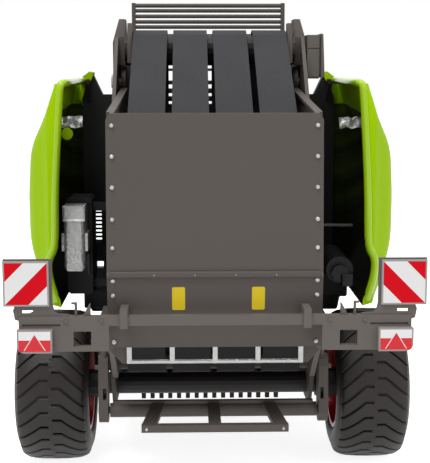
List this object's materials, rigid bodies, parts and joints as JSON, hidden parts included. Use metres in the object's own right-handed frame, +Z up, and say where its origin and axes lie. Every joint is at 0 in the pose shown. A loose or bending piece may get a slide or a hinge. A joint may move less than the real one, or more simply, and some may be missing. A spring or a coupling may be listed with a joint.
{
  "type": "scale model round baler",
  "caption": "Towed 1:32 scale model of a variable-chamber round baler with an opening tailgate, hinged side covers, a tined pick-up, flat belts and a drawbar.",
  "frame": {"origin": "on the floor, midway between the tyres and midway along the whole length", "axes": "+Y forwards, the way it is towed; +X to its right; +Z up"},
  "size_m": [0.0816, 0.1462, 0.0989],
  "materials": {
    "body_grey": "satin dark warm grey paint",
    "frame_grey": "satin darker grey paint",
    "cover_green": "glossy lime green moulding",
    "rim_red": "glossy red moulding",
    "tyre_rubber": "soft matte tyre rubber",
    "belt_rubber": "flat fine-textured belt rubber",
    "bright_metal": "silver paint",
    "black_plastic": "matte black moulding",
    "housing_grey": "matte dark grey moulding",
    "board_print": "red and white slanted stripes",
    "lamp_print": "glossy, white over red"
  },
  "bodies": {
    "chassis": {"axle": "frame_grey", "side_wall_left": "body_grey", "side_wall_right": "body_grey", "hinge_pins": "bright_metal", "upper_rollers": "frame_grey", "chamber_rollers": "frame_grey", "front_housing": "housing_grey", "corner_piece_left": "cover_green", "corner_piece_right": "cover_green", "guard_rail": "body_grey", "cover_brackets_left": "frame_grey", "cover_brackets_right": "frame_grey", "control_box": "black_plastic", "tank": "bright_metal", "canister": "black_plastic", "top_box": "body_grey", "sprockets": "bright_metal", "drive_chain": "black_plastic", "ramp_arms": "body_grey", "pickup_pins": "bright_metal", "drawbar": "body_grey", "hitch_eye": "body_grey", "gearbox": "body_grey", "pto_shaft": "black_plastic", "jack_sleeve": "body_grey"},
    "wheel_left": {"tyre_left": "tyre_rubber", "rim_left": "rim_red"},
    "wheel_right": {"tyre_right": "tyre_rubber", "rim_right": "rim_red"},
    "tailgate": {"tailgate_shell": "body_grey", "tailgate_drums": "frame_grey", "belts": "belt_rubber", "light_bar": "body_grey", "warning_board_left": "board_print", "warning_board_right": "board_print", "tail_lamp_left": "lamp_print", "tail_lamp_right": "lamp_print", "guide_grid": "bright_metal"},
    "cover_left": {"side_cover_left": "cover_green"},
    "cover_right": {"side_cover_right": "cover_green"},
    "ramp": {"bale_ramp": "body_grey"},
    "rotor": {"crop_rotor": "black_plastic"},
    "pickup": {"pickup_frame": "body_grey", "strippers": "bright_metal"},
    "reel": {"tine_reel": "black_plastic"},
    "gauge_left": {"gauge_wheel_left": "tyre_rubber"},
    "gauge_right": {"gauge_wheel_right": "tyre_rubber"},
    "jack": {"jack_leg": "bright_metal"}
  },
  "joints": [
    {"name": "wheel_left_spin", "type": "hinge", "parent": "chassis", "child": "wheel_left", "pos_m": [-0.03315, -0.0349, 0.016], "axis": [1, 0, 0], "continuous": true},
    {"name": "wheel_right_spin", "type": "hinge", "parent": "chassis", "child": "wheel_right", "pos_m": [0.03315, -0.0349, 0.016], "axis": [1, 0, 0], "continuous": true},
    {"name": "tailgate_hinge", "type": "hinge", "parent": "chassis", "child": "tailgate", "pos_m": [0, -0.0149, 0.0806], "axis": [-1, 0, 0], "range_deg": [0, 55]},
    {"name": "cover_left_hinge", "type": "hinge", "parent": "chassis", "child": "cover_left", "pos_m": [-0.0297, -0.0199, 0.0805], "axis": [0, 1, 0], "range_deg": [0, 70]},
    {"name": "cover_right_hinge", "type": "hinge", "parent": "chassis", "child": "cover_right", "pos_m": [0.0297, -0.0199, 0.0805], "axis": [0, -1, 0], "range_deg": [0, 70]},
    {"name": "ramp_hinge", "type": "hinge", "parent": "chassis", "child": "ramp", "pos_m": [0, -0.0509, 0.015], "axis": [1, 0, 0], "range_deg": [0, 45], "stiffness_Nm_per_rad": 0.002, "springref_deg": -11.46},
    {"name": "rotor_spin", "type": "hinge", "parent": "chassis", "child": "rotor", "pos_m": [0, -0.0129, 0.0132], "axis": [1, 0, 0], "continuous": true},
    {"name": "pickup_lift", "type": "hinge", "parent": "chassis", "child": "pickup", "pos_m": [0, -0.0074, 0.018], "axis": [1, 0, 0], "range_deg": [0, 14]},
    {"name": "reel_spin", "type": "hinge", "parent": "pickup", "child": "reel", "pos_m": [0, 0.0071, 0.0092], "axis": [1, 0, 0], "continuous": true},
    {"name": "gauge_left_spin", "type": "hinge", "parent": "pickup", "child": "gauge_left", "pos_m": [-0.036, -0.0039, 0.0045], "axis": [1, 0, 0], "continuous": true},
    {"name": "gauge_right_spin", "type": "hinge", "parent": "pickup", "child": "gauge_right", "pos_m": [0.036, -0.0039, 0.0045], "axis": [1, 0, 0], "continuous": true},
    {"name": "jack_slide", "type": "slide", "parent": "chassis", "child": "jack", "axis": [0, 0, 1], "range_m": [0, 0.01]}
  ]
}
